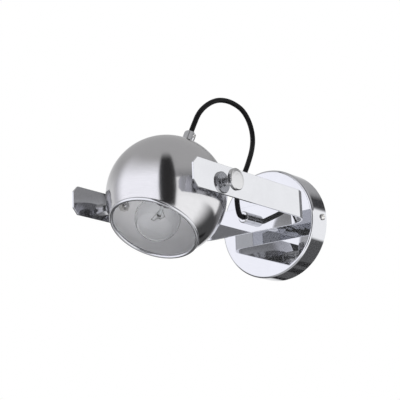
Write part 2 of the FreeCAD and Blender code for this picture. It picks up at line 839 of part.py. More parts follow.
def thumbscrew(side):
    """Knob, neck and threaded shank, turned in one piece, with its face away from the ball."""
    seat = yoke_half_width + face_gap
    foot_end = seat + knob_foot_length
    disc_start = foot_end + knob_neck_length
    disc_end = disc_start + knob_thickness
    tip = ball_inner_radius - pivot_screw_inside
    e = knob_edge
    profile = [
        (0, tip),
        (pivot_radius - 0.6, tip),
        (pivot_radius, tip + 0.6),
        (pivot_radius, seat),
        (knob_foot_radius, seat),
        (knob_foot_radius, foot_end),
        (knob_neck_radius, foot_end + 0.8),
        (knob_neck_radius, disc_start),
        (knob_radius - e, disc_start),
        (knob_radius, disc_start + e),
        (knob_radius, disc_end - e),
        (knob_radius - e, disc_end),
        (0, disc_end),
    ]
    screw = revolve(section(profile))
    screw.rotate(V(0, 0, 0), Y_AXIS, 90 * side)
    screw.translate(V(0, pivot_y, 0))
    return one_solid(screw)


# --- Cable --------------------------------------------------------------------------------------

def bends(points):
    """For each inner point: its turn in degrees and its arc's radius."""
    found = []
    for before, here, after in zip(points, points[1:], points[2:]):
        run_in = here.sub(before)
        run_out = after.sub(here)
        turn = run_in.getAngle(run_out)
        radius = 0.45 * min(run_in.Length, run_out.Length) / math.tan(turn / 2)
        found.append((math.degrees(turn), radius))
    return found


def path_along(points):
    """Straight runs joined by tangent arcs, through a list of corner points."""
    edges = []
    start = points[0]
    for k, (turn, radius) in enumerate(bends(points)):
        before, here, after = points[k:k + 3]
        run_in = here.sub(before).normalize()
        run_out = after.sub(here).normalize()
        cut = radius * math.tan(math.radians(turn) / 2)
        arc_start = here.sub(V(run_in).multiply(cut))
        arc_end = here.add(V(run_out).multiply(cut))
        inward = run_out.sub(run_in).normalize()
        reach = radius / math.cos(math.radians(turn) / 2)
        centre = here.add(V(inward).multiply(reach))
        arc_middle = centre.sub(V(inward).multiply(radius))
        edges.append(Part.LineSegment(start, arc_start).toShape())
        edges.append(Part.Arc(arc_start, arc_middle, arc_end).toShape())
        start = arc_end
    edges.append(Part.LineSegment(start, points[-1]).toShape())
    return Part.Wire(edges)


def tube_along(points, radius):
    """A solid round tube along a path of runs and arcs."""
    path = path_along(points)
    ring = Part.Wire(Part.makeCircle(radius, points[0], points[1].sub(points[0])))
    sweep = path.makePipeShell([ring], True, False)
    return sweep.Solids[0] if sweep.Solids else Part.Solid(sweep)


def cable_route():
    """The corner points of the free cable between the two grips."""
    out = head_axis()
    leave = V(0, pivot_y, 0).add(V(out).multiply(grip_top_h))
    first = leave.add(V(out).multiply(cable_first_run))
    arrive = V(0, -yoke_grip_top(), 0)
    last = arrive.sub(V(0, cable_last_run, 0))
    middle = [V(x, y, z) for x, y, z in cable_points]
    return [leave, first] + middle + [last, arrive]


def power_cable():
    """The loop of cable from the head's grip, over the yoke and into the yoke's grip."""
    points = cable_route()
    for k, (turn, radius) in enumerate(bends(points)):
        print("cable bend", k + 1, "turn", round(turn, 1), "radius", round(radius, 1))
    tube = tube_along(points, cable_radius)
    length = path_along(points).Length
    expected = math.pi * cable_radius**2 * length
    print("cable length", round(length, 1), "volume over section times length",
          round(tube.Volume / expected, 4))
    return tube


# --- All pieces ---------------------------------------------------------------------------------

def pieces():
    """Every node of the object and its shape."""
    spacer_far, spacer_near = pivot_spacers()
    nut_far, nut_near = pivot_nuts()
    return {
        "wall_strap": wall_strap(),
        "wall_rose": rose(),
        "rose_screws": rose_screws(),
        "terminal_block": terminal_block(),
        "terminal_screws": terminal_screws(),
        "earth_screw": earth_screw(),
        "live_core": supply_core(1),
        "neutral_core": supply_core(-1),
        "earth_core": earth_core(),
        "stem_tube": stem_tube(),
        "stem_sleeve": stem_sleeve(),
        "stem_washer": stem_washer(),
        "stem_nut": stem_nut(),
        "stem_cable": stem_cable(),
        "yoke_strip": yoke(),
        "yoke_cord_grip": yoke_grip(),
        "yoke_grip_screw": yoke_grip_screw(),
        "lamp_shell": lamp_shell(),
        "rim_ring": rim_ring(),
        "pivot_spacer_near": spacer_near,
        "pivot_spacer_far": spacer_far,
        "pivot_nut_near": nut_near,
        "pivot_nut_far": nut_far,
        "head_tube": head_tube(),
        "head_washer": head_washer(),
        "head_nut": head_nut(),
        "head_cord_grip": head_grip(),
        "head_grip_screw": head_grip_screw(),
        "head_cable": head_cable(),
        "holder_cap": holder_cap(),
        "holder_skirt": holder_skirt(),
        "holder_insert": holder_insert(),
        "holder_screw_shell": screw_shell(),
        "holder_contact": centre_contact(),
        "holder_live_core": holder_core(1),
        "holder_neutral_core": holder_core(-1),
        "bulb_glass": bulb_glass(),
        "bulb_cap": bulb_cap(),
        "bulb_stem": bulb_stem(),
        "bulb_filament": filament(),
        "thumbscrew_near": thumbscrew(1),
        "thumbscrew_far": thumbscrew(-1),
        "power_cable": power_cable(),
    }


os.makedirs("parts", exist_ok=True)
for name, shape in pieces().items():
    print(name, "solids", len(shape.Solids), "valid", shape.isValid(), "volume", round(shape.Volume, 1))
    shape.exportStep("parts/" + name + ".step")
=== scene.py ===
import bpy
import bmesh
import math
from mathutils import Matrix, Vector


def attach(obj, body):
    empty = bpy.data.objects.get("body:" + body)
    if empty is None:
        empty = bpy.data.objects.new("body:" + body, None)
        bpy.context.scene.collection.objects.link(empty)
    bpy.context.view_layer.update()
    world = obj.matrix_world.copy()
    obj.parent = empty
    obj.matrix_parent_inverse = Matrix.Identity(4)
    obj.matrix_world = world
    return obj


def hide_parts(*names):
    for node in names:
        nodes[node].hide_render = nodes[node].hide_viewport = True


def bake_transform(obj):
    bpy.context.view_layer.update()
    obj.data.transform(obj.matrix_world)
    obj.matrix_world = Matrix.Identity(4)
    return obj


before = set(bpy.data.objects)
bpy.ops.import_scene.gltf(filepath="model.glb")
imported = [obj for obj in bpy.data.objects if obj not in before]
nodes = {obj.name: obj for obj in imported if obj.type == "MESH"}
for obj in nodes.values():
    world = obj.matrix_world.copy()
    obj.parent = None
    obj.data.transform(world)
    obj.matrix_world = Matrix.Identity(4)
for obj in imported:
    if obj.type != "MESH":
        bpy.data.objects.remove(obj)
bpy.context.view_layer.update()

# --- Camera -------------------------------------------------------------------------------------
# The lamp is seen from the room, from its right side and a little from below, with a long lens.
camera_turn, camera_rise, camera_roll = math.radians(36.95), math.radians(-14.30), math.radians(-2.20)
back = Vector((math.sin(camera_turn) * math.cos(camera_rise),
               -math.cos(camera_turn) * math.cos(camera_rise), math.sin(camera_rise)))
right = Vector((math.cos(camera_turn), math.sin(camera_turn), 0.0))
up = back.cross(right)
cos_roll, sin_roll = math.cos(camera_roll), math.sin(camera_roll)
rolled_right = right * cos_roll + up * sin_roll
rolled_up = up * cos_roll - right * sin_roll
camera_data = bpy.data.cameras.new("camera")
camera_data.lens = 109.608
camera_data.sensor_width = 36.0
camera = bpy.data.objects.new("camera", camera_data)
camera.matrix_world = (Matrix.Translation((0.7248, -1.1111, -0.30213))
                       @ Matrix((rolled_right, rolled_up, back)).transposed().to_4x4())
bpy.context.scene.collection.objects.link(camera)
bpy.context.scene.camera = camera


# --- Cable --------------------------------------------------------------------------------------
# Round two-core cable with a smooth black sheath, 5.5 mm thick. It leaves the grip on the ball's
# back, loops over the yoke, swings to the near side and goes into the grip at the yoke's middle.
cable_diameter = 0.0055
cable_route = [
    (0, -0.159725, 0.073222), (0, -0.153225, 0.084481), (0, -0.1440, 0.0998), (0, -0.1287, 0.1128),
    (0, -0.1109, 0.1222), (0, -0.0930, 0.1260), (0.0001, -0.0778, 0.1256), (0.0004, -0.0643, 0.1223),
    (0.0010, -0.0548, 0.1136), (0.0019, -0.0502, 0.1018), (0.0038, -0.0518, 0.0898),
    (0.0070, -0.0585, 0.0788), (0.0113, -0.0678, 0.0690), (0.0153, -0.0780, 0.0585),
    (0.0182, -0.0882, 0.0465), (0.0192, -0.0973, 0.0345), (0.0176, -0.1035, 0.0225),
    (0.0133, -0.1010, 0.0135), (0.0085, -0.0940, 0.0088), (0.0034, -0.0855, 0.0040), (0, -0.07805, 0),
    (0, -0.07255, 0),
]


class Wire:
    """A number on its way between two nodes. Sums and products of wires add Math nodes."""

    def __init__(self, bench, socket):
        self.bench = bench
        self.socket = socket

    def maths(self, operation, *others):
        return self.bench.maths(operation, self, *others)

    def other(self, output):
        return Wire(self.bench, self.socket.node.outputs[output])

    def __add__(self, other):
        return self.maths("ADD", other)

    def __sub__(self, other):
        return self.maths("SUBTRACT", other)

    def __rsub__(self, other):
        return self.bench.maths("SUBTRACT", other, self)

    def __mul__(self, other):
        return self.maths("MULTIPLY", other)

    def __truediv__(self, other):
        return self.maths("DIVIDE", other)

    def __pow__(self, other):
        return self.maths("POWER", other)

    def __neg__(self):
        return self.maths("MULTIPLY", -1.0)

    def __abs__(self):
        return self.maths("ABSOLUTE")

    def over(self, limit):
        return self.maths("GREATER_THAN", limit)

    __radd__ = __add__
    __rmul__ = __mul__


class Bench:
    """A node tree in the making."""

    def __init__(self, tree):
        self.tree = tree

    def node(self, kind, settings=None, sockets=None, output=0):
        """One node: its type, its settings, its sockets' values or links, and the output wanted."""
        made = self.tree.nodes.new(kind)
        for key, value in (settings or {}).items():
            setattr(made, key, value)
        for key, value in (sockets or {}).items():
            if isinstance(value, Wire):
                self.tree.links.new(value.socket, made.inputs[key])
            else:
                made.inputs[key].default_value = value
        return Wire(self, made.outputs[output]) if len(made.outputs) else made

    def maths(self, operation, *values):
        return self.node("ShaderNodeMath", {"operation": operation}, dict(enumerate(values)))

    def smooth(self, value, low, high):
        """0 below low and 1 above high, with a soft step between them."""
        return self.node("ShaderNodeMapRange", {"interpolation_type": "SMOOTHSTEP"},
                         {0: value, 1: low, 2: high, 3: 0.0, 4: 1.0})

    def between(self, colour_a, colour_b, share):
        """A colour between two others."""
        pair = {0: share}
        for key, colour in ((6, colour_a), (7, colour_b)):
            pair[key] = colour if isinstance(colour, Wire) else (*colour, 1.0)
        return self.node("ShaderNodeMix", {"data_type": "RGBA"}, pair, 2)


class Finish(Bench):
    """A surface finish in the making: a Principled shader and what feeds it."""

    def __init__(self, name, location=(0, 0, 0), turn=(0, 0, 0)):
        self.material = bpy.data.materials.new(name)
        self.material.use_nodes = True
        super().__init__(self.material.node_tree)
        self.tree.nodes.clear()
        where = self.node("ShaderNodeTexCoord", output="Object")
        self.place = self.node("ShaderNodeMapping", {"vector_type": "TEXTURE"},
                               {"Vector": where, "Location": location,
                                "Rotation": [math.radians(angle) for angle in turn]})

    def stretched(self, scale, vector=None):
        """The place on the piece, drawn out by a scale along each axis."""
        return self.node("ShaderNodeMapping", {}, {"Vector": vector or self.place, "Scale": scale})

    def noise(self, scale, detail=2.0, rough=0.5, vector=None, warp=0.0):
        """Even mottling whose grains are about one over scale metres across."""
        return self.node("ShaderNodeTexNoise", {}, {"Vector": vector or self.place, "Scale": scale,
                                                    "Detail": detail, "Roughness": rough,
                                                    "Distortion": warp})

    def bump(self, height, strength, distance):
        return self.node("ShaderNodeBump", {}, {"Height": height, "Strength": strength,
                                                "Distance": distance})

    def done(self, **sockets):
        """Set the shader's sockets and return the material."""
        given = {key.replace("_", " "): value for key, value in sockets.items()}
        for key, value in given.items():
            if isinstance(value, tuple) and len(value) == 3:
                given[key] = (*value, 1.0)
        shader = self.node("ShaderNodeBsdfPrincipled", {}, given)
        self.node("ShaderNodeOutputMaterial", {}, {"Surface": shader})
        return self.material


def sheathing(name, dark, light, shine):
    """Extruded plastic over wires: fine lines along it, and a little dust in its gloss."""
    skin = Finish(name)
    along = skin.node("ShaderNodeUVMap", {}, {})
    drawn = skin.noise(1.0, 3.0, 0.6, skin.stretched((14.0, 60.0, 1.0), along))
    dust = skin.noise(420.0, 3.0, 0.6)
    tone = skin.smooth(drawn * 0.6 + dust * 0.4, 0.35, 0.7)
    return skin.done(Base_Color=skin.between(dark, light, tone), Roughness=shine + dust * 0.12,
                     IOR=1.5, Specular_IOR_Level=0.12, Normal=skin.bump(drawn, 0.12, 0.0002))


def link(name, mesh):
    """Put a mesh in the scene as an object at the origin."""
    obj = bpy.data.objects.new(name, mesh)
    bpy.context.scene.collection.objects.link(obj)
    return obj


def tube(name, points, radius, sides):
    """A closed round tube along points, with a UV map of metres along it and turns round it."""
    points = [Vector(p) for p in points]
    verts, faces, lengths = [], [], [0.0]
    for a, b in zip(points, points[1:]):
        lengths.append(lengths[-1] + (b - a).length)
    heading = (points[1] - points[0]).normalized()
    side = heading.orthogonal().normalized()
    for k, point in enumerate(points):
        ahead = (points[min(k + 1, len(points) - 1)] - points[max(k - 1, 0)]).normalized()
        side = (heading.rotation_difference(ahead) @ side).normalized()
        heading = ahead
        across = heading.cross(side)
        for j in range(sides):
            angle = 2 * math.pi * j / sides
            verts.append(point + (side * math.cos(angle) + across * math.sin(angle)) * radius)
    uvs = []
    for k in range(len(points) - 1):
        for j in range(sides):
            n = (j + 1) % sides
            faces.append((k * sides + j, k * sides + n, (k + 1) * sides + n, (k + 1) * sides + j))
            uvs += [(lengths[k], j / sides), (lengths[k], (j + 1) / sides),
                    (lengths[k + 1], (j + 1) / sides), (lengths[k + 1], j / sides)]
    last = (len(points) - 1) * sides
    faces.append(tuple(range(sides))[::-1])
    faces.append(tuple(last + j for j in range(sides)))
    uvs += [(0.0, 0.0)] * (2 * sides)
    mesh = bpy.data.meshes.new(name)
    mesh.from_pydata(verts, [], faces)
    layer = mesh.uv_layers.new(name="along")
    for loop, uv in zip(layer.data, uvs):
        loop.uv = uv
    return finish_mesh(link(name, mesh), weld=False)


def finish_mesh(obj, crease=32.0, weld=True):
    """Weld a mesh's seams, turn its faces outwards and shade it smooth between its edges."""
    shape = bmesh.new()
    shape.from_mesh(obj.data)
    if weld:
        bmesh.ops.remove_doubles(shape, verts=shape.verts, dist=2e-6)
    bmesh.ops.recalc_face_normals(shape, faces=shape.faces)
    shape.to_mesh(obj.data)
    shape.free()
    obj.data.shade_smooth()
    obj.data.set_sharp_from_angle(angle=math.radians(crease))
    return obj


def true_flats(obj):
    """Keep a piece's flat faces flat in their mirror images, beside its small roundings."""
    even = obj.modifiers.new("even", "WEIGHTED_NORMAL")
    even.mode = "FACE_AREA"
    even.weight = 100
    even.keep_sharp = True
    return settle(obj)


def settle(obj):
    """Turn a piece's modifiers into plain mesh."""
    bpy.context.view_layer.update()
    ready = obj.evaluated_get(bpy.context.evaluated_depsgraph_get())
    mesh = bpy.data.meshes.new_from_object(ready)
    mesh.name = obj.name
    obj.modifiers.clear()
    obj.data = mesh
    return obj


def dress(obj, material, slot, body, *replaced):
    """Give a piece its finish, its place on a body and the solid it stands for."""
    obj.data.materials.clear()
    obj.data.materials.append(material)
    if body:
        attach(obj, body)
    if replaced:
        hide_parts(*replaced)
    return obj


route = bpy.data.curves.new("cable_route", "CURVE")
route.dimensions = "3D"
route.resolution_u = 14
spline = route.splines.new("NURBS")
spline.points.add(len(cable_route) - 1)
for point, place in zip(spline.points, cable_route):
    point.co = (*place, 1.0)
spline.order_u = 3
spline.use_endpoint_u = True
route_object = link("cable_route", route)
bpy.context.view_layer.update()
line = bpy.data.meshes.new_from_object(
    route_object.evaluated_get(bpy.context.evaluated_depsgraph_get()))
cable_line = [tuple(v.co) for v in line.vertices]
bpy.data.objects.remove(route_object)
bpy.data.meshes.remove(line)

black_sheath = sheathing("black_sheath", (0.002, 0.002, 0.0023), (0.006, 0.006, 0.007), 0.40)
power_cable = tube("cable_sheath", cable_line, cable_diameter / 2, 24)
dress(power_cable, black_sheath, "black_cable", None, "power_cable")
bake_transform(power_cable)


# --- Wall strap, its earth screw and the cores ---------------------------------------------------
# Zinc-plated steel bar that two wall screws hold through its slots. The rose hangs on its bent
# ends. The earth core is clamped under a brass screw, the other two go to the terminal block.
strap_edge = 0.00022


def plated_steel(name, colour, shine, grain=900.0):
    """Zinc or nickel plate on rolled steel: cloudy gloss, a fine grain and a few handling marks."""
    plate = Finish(name)
    cloud = plate.noise(55.0, 3.0, 0.6, warp=0.4)
    fine = plate.noise(grain, 2.0, 0.6)
    drawn = plate.noise(1.0, 2.0, 0.5, plate.stretched((180.0, 1400.0, 1400.0)))
    tone = plate.smooth(cloud * 0.6 + fine * 0.2 + drawn * 0.2, 0.3, 0.7)
    dull = [part * 0.86 for part in colour]
    return plate.done(Base_Color=plate.between(dull, colour, tone), Metallic=1.0,
                      Roughness=shine + cloud * 0.12 + fine * 0.06,
                      Normal=plate.bump(fine * 0.5 + drawn * 0.5, 0.08, 0.0001))


def eased_copy(name, node, width):
    """A copy of a solid with its edges broken, as deburring and plating leave them."""
    obj = link(name, nodes[node].data.copy())
    shape = bmesh.new()
    shape.from_mesh(obj.data)
    bmesh.ops.remove_doubles(shape, verts=shape.verts, dist=1e-6)
    bmesh.ops.dissolve_limit(shape, angle_limit=math.radians(0.6), verts=shape.verts, edges=shape.edges)
    shape.to_mesh(obj.data)
    shape.free()
    ease = obj.modifiers.new("ease", "BEVEL")
    ease.width = width
    ease.segments = 2
    ease.limit_method = "ANGLE"
    ease.angle_limit = math.radians(40.0)
    settle(obj)
    return finish_mesh(obj, 35.0)


zinc = plated_steel("zinc_plate", (0.66, 0.67, 0.68), 0.26)
strap = eased_copy("strap_bar", "wall_strap", strap_edge)
dress(strap, zinc, "zinc_steel", "wall_mount", "wall_strap")

brass = plated_steel("turned_brass", (0.80, 0.62, 0.30), 0.22, 1500.0)
earth_screw = eased_copy("earth_clamp_screw", "earth_screw", 0.00015)
dress(earth_screw, brass, "brass", "wall_mount", "earth_screw")

core_colours = {
    "live_core": ("brown_core", (0.16, 0.06, 0.025), (0.26, 0.11, 0.05), "core_brown"),
    "neutral_core": ("blue_core", (0.02, 0.07, 0.30), (0.04, 0.13, 0.48), "core_blue"),
    "earth_core": ("green_core", (0.10, 0.32, 0.03), (0.55, 0.60, 0.05), "core_green"),
}
for node, (name, dark, light, slot) in core_colours.items():
    core = Finish(name)
    drawn = core.noise(700.0, 2.0, 0.5)
    if node == "earth_core":
        stripe = core.node("ShaderNodeTexWave", {"bands_direction": "Z"},
                           {"Vector": core.place, "Scale": 260.0, "Distortion": 0.6})
        share = core.smooth(stripe, 0.4, 0.6)
    else:
        share = core.smooth(drawn, 0.3, 0.7)
    nodes[node].data.materials.clear()
    nodes[node].data.materials.append(
        core.done(Base_Color=core.between(dark, light, share), Roughness=0.36 + drawn * 0.15,
                  Normal=core.bump(drawn, 0.1, 0.0001)))


# --- Terminal block ------------------------------------------------------------------------------
# Moulded nylon block with three poles. Each pole has two small clamping screws low in their wells.
# The block lies on the strap inside the rose.
nylon = Finish("natural_nylon")
speckle = nylon.noise(650.0, 3.0, 0.6)
flow = nylon.noise(70.0, 2.0, 0.5, warp=1.0)
nylon_finish = nylon.done(
    Base_Color=nylon.between((0.74, 0.74, 0.69), (0.86, 0.86, 0.82), nylon.smooth(flow, 0.3, 0.7)),
    Roughness=0.42 + speckle * 0.14, Normal=nylon.bump(speckle, 0.12, 0.0001))
block = eased_copy("terminal_body", "terminal_block", 0.0003)
dress(block, nylon_finish, "terminal_nylon", "wall_mount", "terminal_block")


def turned(name, section, place=Matrix.Identity(4), around=96):
    """A piece turned about its own axis from a closed half section in millimetres, then placed."""
    verts, faces, rings = [], [], []
    for radius, height in section:
        if radius < 1e-6:
            rings.append([len(verts)] * around)
            verts.append((0.0, 0.0, height * 0.001))
        else:
            rings.append(range(len(verts), len(verts) + around))
            for j in range(around):
                angle = 2 * math.pi * j / around
                verts.append((radius * 0.001 * math.cos(angle), radius * 0.001 * math.sin(angle),
                              height * 0.001))
    for low, high in zip(rings, rings[1:] + rings[:1]):
        for j in range(around):
            n = (j + 1) % around
            corners = list(dict.fromkeys((low[j], low[n], high[n], high[j])))
            if len(corners) > 2:
                faces.append(corners)
    mesh = bpy.data.meshes.new(name)
    mesh.from_pydata(verts, [], faces)
    mesh.transform(place)
    return finish_mesh(link(name, mesh))


def eased(corners, steps=5):
    """A closed half section whose corners, given as (radius, height, rounding), are rounded."""
    points = []
    for k, (r, h, rounding) in enumerate(corners):
        here = Vector((r, h))
        if rounding <= 0:
            points.append((r, h))
            continue
        before = (Vector(corners[k - 1][:2]) - here).normalized()
        after = (Vector(corners[(k + 1) % len(corners)][:2]) - here).normalized()
        half = before.angle(after) / 2
        centre = here + (before + after).normalized() * (rounding / math.sin(half))
        start = here + before * (rounding / math.tan(half))
        end = here + after * (rounding / math.tan(half))
        a, b = start - centre, end - centre
        sweep = a.angle_signed(b)
        for step in range(steps + 1):
            spoke = a.copy()
            spoke.rotate(Matrix.Rotation(-sweep * step / steps, 2))
            points.append(tuple(centre + spoke))
    return points


def sliced(obj, low, high):
    """Cut a box between two corners, in millimetres, out of a piece."""
    cutter = bmesh.new()
    bmesh.ops.create_cube(cutter, size=1.0)
    for v in cutter.verts:
        v.co = Vector([(a + b) / 2 + c * (b - a) for a, b, c in zip(low, high, v.co)]) * 0.001
    mesh = bpy.data.meshes.new("cutter")
    cutter.to_mesh(mesh)
    cutter.free()
    return cut_by(obj, link("cutter", mesh))


def drilled(obj, radius, start, end, around=48):
    """Drill a round hole between two points, in millimetres."""
    start, end = Vector(start), Vector(end)
    span = end - start
    place = Matrix.Translation(start * 0.001) @ span.to_track_quat("Z", "Y").to_matrix().to_4x4()
    section = [(0, 0), (radius, 0), (radius, span.length), (0, span.length)]
    return cut_by(obj, turned("drill", section, place, around))


def cut_by(obj, cutter):
    cut = obj.modifiers.new("cut", "BOOLEAN")
    cut.operation = "DIFFERENCE"
    cut.solver = "EXACT"
    cut.object = cutter
    settle(obj)
    bpy.data.objects.remove(cutter)
    return finish_mesh(obj)


class Jig(Bench):
    """A Geometry Nodes tree in the making, with named inputs for a piece's sizes."""

    def __init__(self, name, sizes):
        super().__init__(bpy.data.node_groups.new(name, "GeometryNodeTree"))
        kinds = {bool: "NodeSocketBool", int: "NodeSocketInt", float: "NodeSocketFloat"}
        self.sizes = sizes
        self.keys = {}
        for label, value in sizes.items():
            kind = kinds.get(type(value), "NodeSocketObject")
            self.keys[label] = self.tree.interface.new_socket(
                name=label, in_out="INPUT", socket_type=kind).identifier
        self.tree.interface.new_socket(name="Piece", in_out="OUTPUT",
                                       socket_type="NodeSocketGeometry")
        self.inlet = self.tree.nodes.new("NodeGroupInput")

    def size(self, label):
        return Wire(self, self.inlet.outputs[label])

    def made(self, name, geometry, material):
        """Run the tree once and keep its result as a plain mesh."""
        real = self.node("GeometryNodeRealizeInstances", {}, {"Geometry": geometry})
        painted = self.node("GeometryNodeSetMaterial", {}, {"Geometry": real, "Material": material})
        self.node("NodeGroupOutput", {}, {"Piece": painted})
        obj = link(name, bpy.data.meshes.new(name))
        run = obj.modifiers.new("jig", "NODES")
        run.node_group = self.tree
        for label, value in self.sizes.items():
            run[self.keys[label]] = value
        obj.update_tag()
        return settle(obj)


def copies(name, part, count, step, turn, material):
    """Copies of a part, each moved by step and turned about the origin from the one before."""
    jig = Jig(name + "_jig", {"Part": part, "Count": count})
    index = jig.node("GeometryNodeInputIndex")
    part_shape = jig.node("GeometryNodeObjectInfo", {}, {"Object": jig.size("Part")}, "Geometry")
    spots = jig.node("GeometryNodePoints", {}, {"Count": jig.size("Count")})
    angles = [index * math.radians(angle) for angle in turn]
    turned_by = jig.node("ShaderNodeCombineXYZ", {}, dict(enumerate(angles)))
    offsets = [index * run for run in step]
    moved_by = jig.node("ShaderNodeCombineXYZ", {}, dict(enumerate(offsets)))
    spots = jig.node("GeometryNodeSetPosition", {}, {"Geometry": spots, "Position": moved_by})
    placed = jig.node("GeometryNodeInstanceOnPoints", {},
                      {"Points": spots, "Instance": part_shape, "Rotation": turned_by})
    made = jig.made(name, placed, material)
    bpy.data.objects.remove(part)
    return made


wall_axis = Matrix.Rotation(math.radians(90.0), 4, "X")
pole_pitch = 16.0 / 3
clamp = turned("clamp_screw", eased([(0, 6.85, 0), (1.6, 6.85, 0), (1.6, 12.25, 0.2), (0, 12.25, 0)]),
               wall_axis, 32)
clamp.data.transform(Matrix.Translation((0.01728, 0, -pole_pitch * 0.001)))
sliced(clamp, (15.0, -13.0, -pole_pitch - 0.25), (20.0, -11.7, -pole_pitch + 0.25))
clamp_row = copies("clamp_screw_row", clamp, 3, (0, 0, pole_pitch * 0.001), (0, 0, 0), brass)
clamp_screws = copies("clamp_screws", clamp_row, 2, (0.01144, 0, 0), (0, 0, 0), brass)
dress(clamp_screws, brass, "brass", "wall_mount", "terminal_screws")


# --- Wall rose ----------------------------------------------------------------------------------
# Drum pressed from 1.2 mm steel sheet and chrome plated, with a rounded front edge and an open
# back. Two round-headed slotted screws go through its side into the strap's bent ends.
rose_radius, rose_depth, rose_wall, rose_corner = 60.0, 27.5, 1.2, 3.0
stem_hole, screw_hole, screw_from_wall = 4.06, 2.2, 9.0
chrome_colour, chrome_dull = (0.625, 0.632, 0.655), (0.602, 0.608, 0.630)


def chrome(name, location=(0, 0, 0), turn=(0, 0, 0), shine=0.0, waviness=0.05):
    """Bright chrome plate: nearly a mirror, with faint polishing haze and the sheet's slight waves."""
    plate = Finish(name, location, turn)
    haze = plate.noise(34.0, 4.0, 0.62, warp=0.8)
    touch = plate.noise(260.0, 3.0, 0.6)
    waves = plate.noise(22.0, 1.0, 0.4)
    tone = plate.smooth(haze, 0.25, 0.75)
    marks = plate.smooth(haze * touch, 0.26, 0.42)
    return plate.done(Base_Color=plate.between(chrome_dull, chrome_colour, tone), Metallic=0.965,
                      Roughness=shine + marks * 0.012, Normal=plate.bump(waves, waviness, 0.0003))


def arc(centre, radius, start, end, steps):
    """Points of a round part of a half section, between two angles in degrees."""
    points = []
    for k in range(steps + 1):
        angle = math.radians(start + (end - start) * k / steps)
        points.append((centre[0] + radius * math.cos(angle), centre[1] + radius * math.sin(angle)))
    return points


rose_chrome = chrome("rose_chrome", turn=(90.0, 0.0, 0.0), waviness=0.004)
outer_edge = arc((rose_radius - rose_corner, rose_depth - rose_corner), rose_corner, 0, 90, 12)
inner_edge = arc((rose_radius - rose_corner, rose_depth - rose_corner),
                 rose_corner - rose_wall, 90, 0, 8)
rose_section = ([(rose_radius - rose_wall, 0.0), (rose_radius - 0.25, 0.0), (rose_radius, 0.25)]
                + outer_edge + [(30.0, rose_depth), (4.4, rose_depth), (stem_hole, rose_depth - 0.35)]
                + [(stem_hole, rose_depth - rose_wall), (30.0, rose_depth - rose_wall)] + inner_edge)
rose = turned("rose_drum", rose_section, wall_axis, 256)
drilled(rose, screw_hole, (-64, -screw_from_wall, 0), (64, -screw_from_wall, 0))
true_flats(rose)
dress(rose, rose_chrome, "mirror_chrome", "wall_mount", "wall_rose")

head_seat, head_radius, head_height = rose_radius + 0.1, 3.4, 2.2
screw_axis = (Matrix.Translation((0, -screw_from_wall * 0.001, 0))
              @ Matrix.Rotation(math.radians(90.0), 4, "Y"))
screw_section = eased([
    (0, 50.6, 0), (1.5, 50.6, 0), (2.0, 51.1, 0), (2.0, head_seat, 0),
    (head_radius, head_seat, 0.2), (head_radius, head_seat + 1.3, 0.5),
    (2.0, head_seat + head_height, 0.9), (0, head_seat + head_height, 0)])
side_screw = turned("side_screw", screw_section, screw_axis, 48)
sliced(side_screw, (head_seat + 1.2, -14, -0.4), (head_seat + 4, -4, 0.4))
bright_steel = plated_steel("bright_nickel", (0.75, 0.74, 0.72), 0.10, 1300.0)
side_screws = copies("rose_side_screws", side_screw, 2, (0, 0, 0), (0, 180, 0), bright_steel)
dress(side_screws, bright_steel, "bright_steel", "wall_mount", "rose_screws")


# --- Stem ---------------------------------------------------------------------------------------
# A hollow threaded tube joins rose and yoke. Inside the rose it has a toothed washer and a nut,
# and between rose and yoke a turned, chromed sleeve. The cable runs through it.
sleeve_radius, sleeve_start, sleeve_end, bore = 7.0, 27.6, 55.45, 4.05
nut_edge = 0.0002


def threaded_steel(name, pitch, location, turn):
    """Plated steel with a rolled thread, drawn by its bump along the tube's own axis, with painted
    shade in the thread's grooves.
    """
    steel = Finish(name, location, turn)
    x = steel.node("ShaderNodeSeparateXYZ", {}, {"Vector": steel.place})
    lead = x.maths("ARCTAN2", x.other("Y")) / (2 * math.pi)
    ridge = (x.other("Z") / pitch + lead).maths("FRACT")
    crest = abs(ridge - 0.5) * 2.0
    cloud = steel.noise(90.0, 3.0, 0.6)
    # Base colour is darker down in the thread's grooves than on its crests: painted shade in the
    # grooves.
    return steel.done(Base_Color=steel.between((0.50, 0.50, 0.50), (0.68, 0.68, 0.69), crest),
                      Metallic=1.0, Roughness=0.24 + cloud * 0.12,
                      Normal=steel.bump(crest, 0.6, 0.0004))


def paint(material, *names):
    """Give a solid that keeps its own shape its finish."""
    for name in names:
        nodes[name].data.materials.clear()
        nodes[name].data.materials.append(material)


paint(threaded_steel("threaded_stem", 0.001, (0, 0, 0), (90, 0, 0)), "stem_tube")
sleeve = turned("stem_spacer", eased([
    (bore, sleeve_start, 0), (sleeve_radius, sleeve_start, 0.35),
    (sleeve_radius, sleeve_end, 0.35), (bore, sleeve_end, 0)]), wall_axis, 96)
dress(sleeve, chrome("sleeve_chrome", turn=(90.0, 0.0, 0.0), shine=0.03), "mirror_chrome",
      "yoke", "stem_sleeve")


